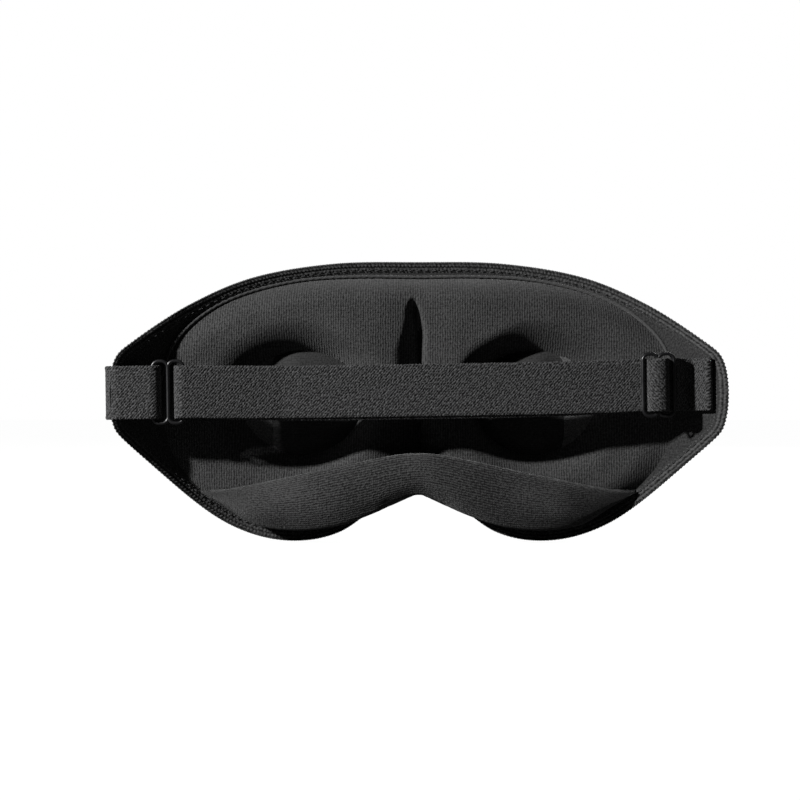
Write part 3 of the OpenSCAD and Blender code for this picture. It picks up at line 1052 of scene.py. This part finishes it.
def wrap_path():
    """The hump of the strap over the adjuster's middle bar."""
    r = 3.1
    y = FRONT_RUN_Y - STRAP_T - 0.1
    return np.concatenate([
        [(-FOOT_X, y)], arc((-r - FOOT_R, y - FOOT_R), FOOT_R, 90, 0, 6),
        arc((0, BUCKLE_Y), r, 180, 360, 30),
        arc((r + FOOT_R, y - FOOT_R), FOOT_R, 180, 90, 6), [(FOOT_X, y)],
    ]) + [ADJUSTER_X, 0]


def end_path():
    """The strap's sewn end, looped round the adjuster's middle bar."""
    r = 1.25
    return np.concatenate([
        [(-FOOT_X, RETURN_RUN_Y)], arc((-r - FOOT_R, RETURN_RUN_Y - FOOT_R), FOOT_R, 90, 0, 6),
        arc((0, BUCKLE_Y), r, 180, 360, 18),
        arc((r - FOOT_R, END_RUN_Y - FOOT_R), FOOT_R, 0, 90, 6), [(-FOOT_X - 6, END_RUN_Y)],
    ]) + [ADJUSTER_X, 0]


def on_strap_line(points):
    """Tilts points from the strap's own line to its place on the mask."""
    c, s = math.cos(STRAP_SLOPE), math.sin(STRAP_SLOPE)
    x, y, z = points[..., 0], points[..., 1], points[..., 2]
    return np.stack([x * c - z * s, y, x * s + z * c + STRAP_RISE], -1)


def drape(grid, droop):
    """Lets a hanging run sag down. It stays flat, because the adjuster slides along it."""
    grid[..., 2] -= droop * (1 - np.clip(grid[..., 0] / 74, -1, 1) ** 4)
    return grid


def ribbon(name, path, mirror=False, droop=0.0):
    """A length of woven elastic on edge along a path, with a rope-like selvage on both sides."""
    path = evenly(path, STRAP_STEP)
    if mirror:
        path = path[::-1] * [-1, 1]
    side = left_of(tangents(path))
    half_t = STRAP_T / 2
    flat_half = STRAP_W / 2 - half_t
    faces = np.linspace(-1, 1, 42)[1:-1] * flat_half
    turn = np.radians(np.arange(0, 181, 36))
    level = np.full(len(faces), half_t)
    w = np.concatenate([faces, flat_half + half_t * np.sin(turn),
                        faces[::-1], -flat_half - half_t * np.sin(turn)])
    t = np.concatenate([level, half_t * np.cos(turn), -level, -half_t * np.cos(turn)])
    s2, w2 = np.meshgrid(lengths(path), w, indexing="ij")
    base = path[:, None, :] + side[:, None, :] * t[None, :, None]
    grid = on_strap_line(drape(stack(base[..., 0], base[..., 1], w2), droop))
    edge = smooth((np.abs(w2) - (STRAP_W / 2 - SELVAGE_W)) / 0.5)
    twill = 0.06 * np.cos(2 * math.pi * (s2 + 0.8 * w2) / TWILL_PITCH)
    rope = 0.14 * np.cos(2 * math.pi * s2 / ROPE_PITCH) + 0.05
    height = twill * (1 - edge) + rope * edge
    outward = normals(grid, closed_cols=True) * (-1 if mirror else 1)
    grid = grid + outward * height[..., None]
    v2 = np.where(t[None, :] >= 0, w2, w2 + BACK_UV)
    return tube(name, grid, np.stack([s2, v2], -1))


def strap_pieces():
    """All lengths of elastic."""
    piece(ribbon("left_tab_elastic", tab_path(), mirror=True), "mask", "elastic", "left_tab")
    front = ribbon("front_strap_elastic", front_path(), droop=0.6)
    piece(front, "mask", "elastic", "strap_tail")
    back = ribbon("return_strap_elastic", return_path(), droop=1.5)
    piece(back, "mask", "elastic", "main_strap")
    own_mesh(back)
    piece(ribbon("strap_wrap_elastic", wrap_path()), "strap_wrap", "elastic", "strap_wrap")
    loop = ribbon("strap_end_elastic", end_path())
    piece(loop, "strap_wrap", "elastic", "strap_end_loop")


# ---------------------------------------------------------------- build the pieces

piece(lining(), "mask", "lining_fabric", "inner_lining")
piece(outer_cover(), "mask", "outer_fabric", "outer_cover")
piece(shell_core(), "mask", "foam", "foam_shell")
piece(binding(), "mask", "binding_knit", "edge_binding")
piece(edge_stitches(), "mask", "thread", "edge_stitching")
pad_pieces()
piece(piping(), "mask", "piping_cord", "pad_piping")
flap_pieces()
piece(flap_hem(), "mask", "flap_fabric", "nose_flap_hem")
strap_pieces()

for node in ("left_tab_stitching", "strap_tail_stitching", "strap_end_stitching"):
    dress(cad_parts[node], "thread")
for node in ("left_buckle", "slide_adjuster"):
    dress(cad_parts[node], "buckle_plastic")

# ---------------------------------------------------------------- stage, light and camera


def make_world():
    """A white studio that the camera sees, and a faint even fill from all round."""
    world = bpy.data.worlds.new("studio")
    world.use_nodes = True
    tree = world.node_tree
    tree.nodes.clear()
    out = tree.nodes.new("ShaderNodeOutputWorld")
    mix = tree.nodes.new("ShaderNodeMixShader")
    path = tree.nodes.new("ShaderNodeLightPath")
    fill = tree.nodes.new("ShaderNodeBackground")
    seen = tree.nodes.new("ShaderNodeBackground")
    fill.inputs["Color"].default_value = (1, 1, 1, 1)
    fill.inputs["Strength"].default_value = 0.016
    seen.inputs["Color"].default_value = (1, 1, 1, 1)
    tree.links.new(path.outputs["Is Camera Ray"], mix.inputs[0])
    tree.links.new(fill.outputs[0], mix.inputs[1])
    tree.links.new(seen.outputs[0], mix.inputs[2])
    tree.links.new(mix.outputs[0], out.inputs[0])
    bpy.context.scene.world = world


def make_floor():
    """A pale floor that reads as the white backdrop and throws little light up."""
    size = 4000
    z = -LOBE - 0.3
    corners = [(-size, -size, z), (size, -size, z), (size, size, z), (-size, size, z)]
    floor = make_mesh("floor", corners, [[0, 1, 2, 3]])
    material = bpy.data.materials.new("pale_floor")
    material.use_nodes = True
    tree = material.node_tree
    surface = tree.nodes["Principled BSDF"]
    surface.inputs["Roughness"].default_value = 0.9
    glow = tree.nodes.new("ShaderNodeEmission")
    glow.inputs["Strength"].default_value = 1.06
    mix = tree.nodes.new("ShaderNodeMixShader")
    path = tree.nodes.new("ShaderNodeLightPath")
    tone = tree.nodes.new("ShaderNodeMix")
    tone.data_type = "RGBA"
    tone.inputs["A"].default_value = (0.05, 0.05, 0.05, 1)
    tone.inputs["B"].default_value = (0.8, 0.8, 0.8, 1)
    tree.links.new(path.outputs["Is Camera Ray"], tone.inputs["Factor"])
    tree.links.new(tone.outputs["Result"], surface.inputs["Base Color"])
    share = tree.nodes.new("ShaderNodeMath")
    share.operation = "MULTIPLY"
    share.inputs[1].default_value = 0.93
    tree.links.new(path.outputs["Is Camera Ray"], share.inputs[0])
    tree.links.new(share.outputs[0], mix.inputs[0])
    tree.links.new(surface.outputs[0], mix.inputs[1])
    tree.links.new(glow.outputs[0], mix.inputs[2])
    tree.links.new(mix.outputs[0], tree.nodes["Material Output"].inputs[0])
    floor.data.materials.append(material)


def make_light(name, place, size, power):
    """A round lamp that faces the mask."""
    data = bpy.data.lights.new(name, "AREA")
    data.shape = "DISK"
    data.size = size
    data.energy = power
    obj = bpy.data.objects.new(name, data)
    obj.location = place
    obj.rotation_euler = (-Vector(place)).to_track_quat("-Z", "Y").to_euler()
    bpy.context.scene.collection.objects.link(obj)


def make_camera():
    """A camera straight in front, whose picture is frame_width wide at the mask."""
    distance = 0.65
    frame_width = 0.2816
    x, z = -0.0063, -0.0029
    data = bpy.data.cameras.new("camera")
    data.sensor_width = 36
    data.lens = 36 * distance / frame_width
    obj = bpy.data.objects.new("camera", data)
    obj.location = (x, -distance, z)
    obj.rotation_euler = (math.radians(90), 0, 0)
    bpy.context.scene.collection.objects.link(obj)
    bpy.context.scene.camera = obj


make_world()
make_floor()
make_light("key", (-0.84, -0.69, 0.42), 0.06, 18)
make_light("back", (0.45, 1.0, 0.55), 0.6, 9)
make_camera()
bpy.context.scene.view_settings.view_transform = "Standard"
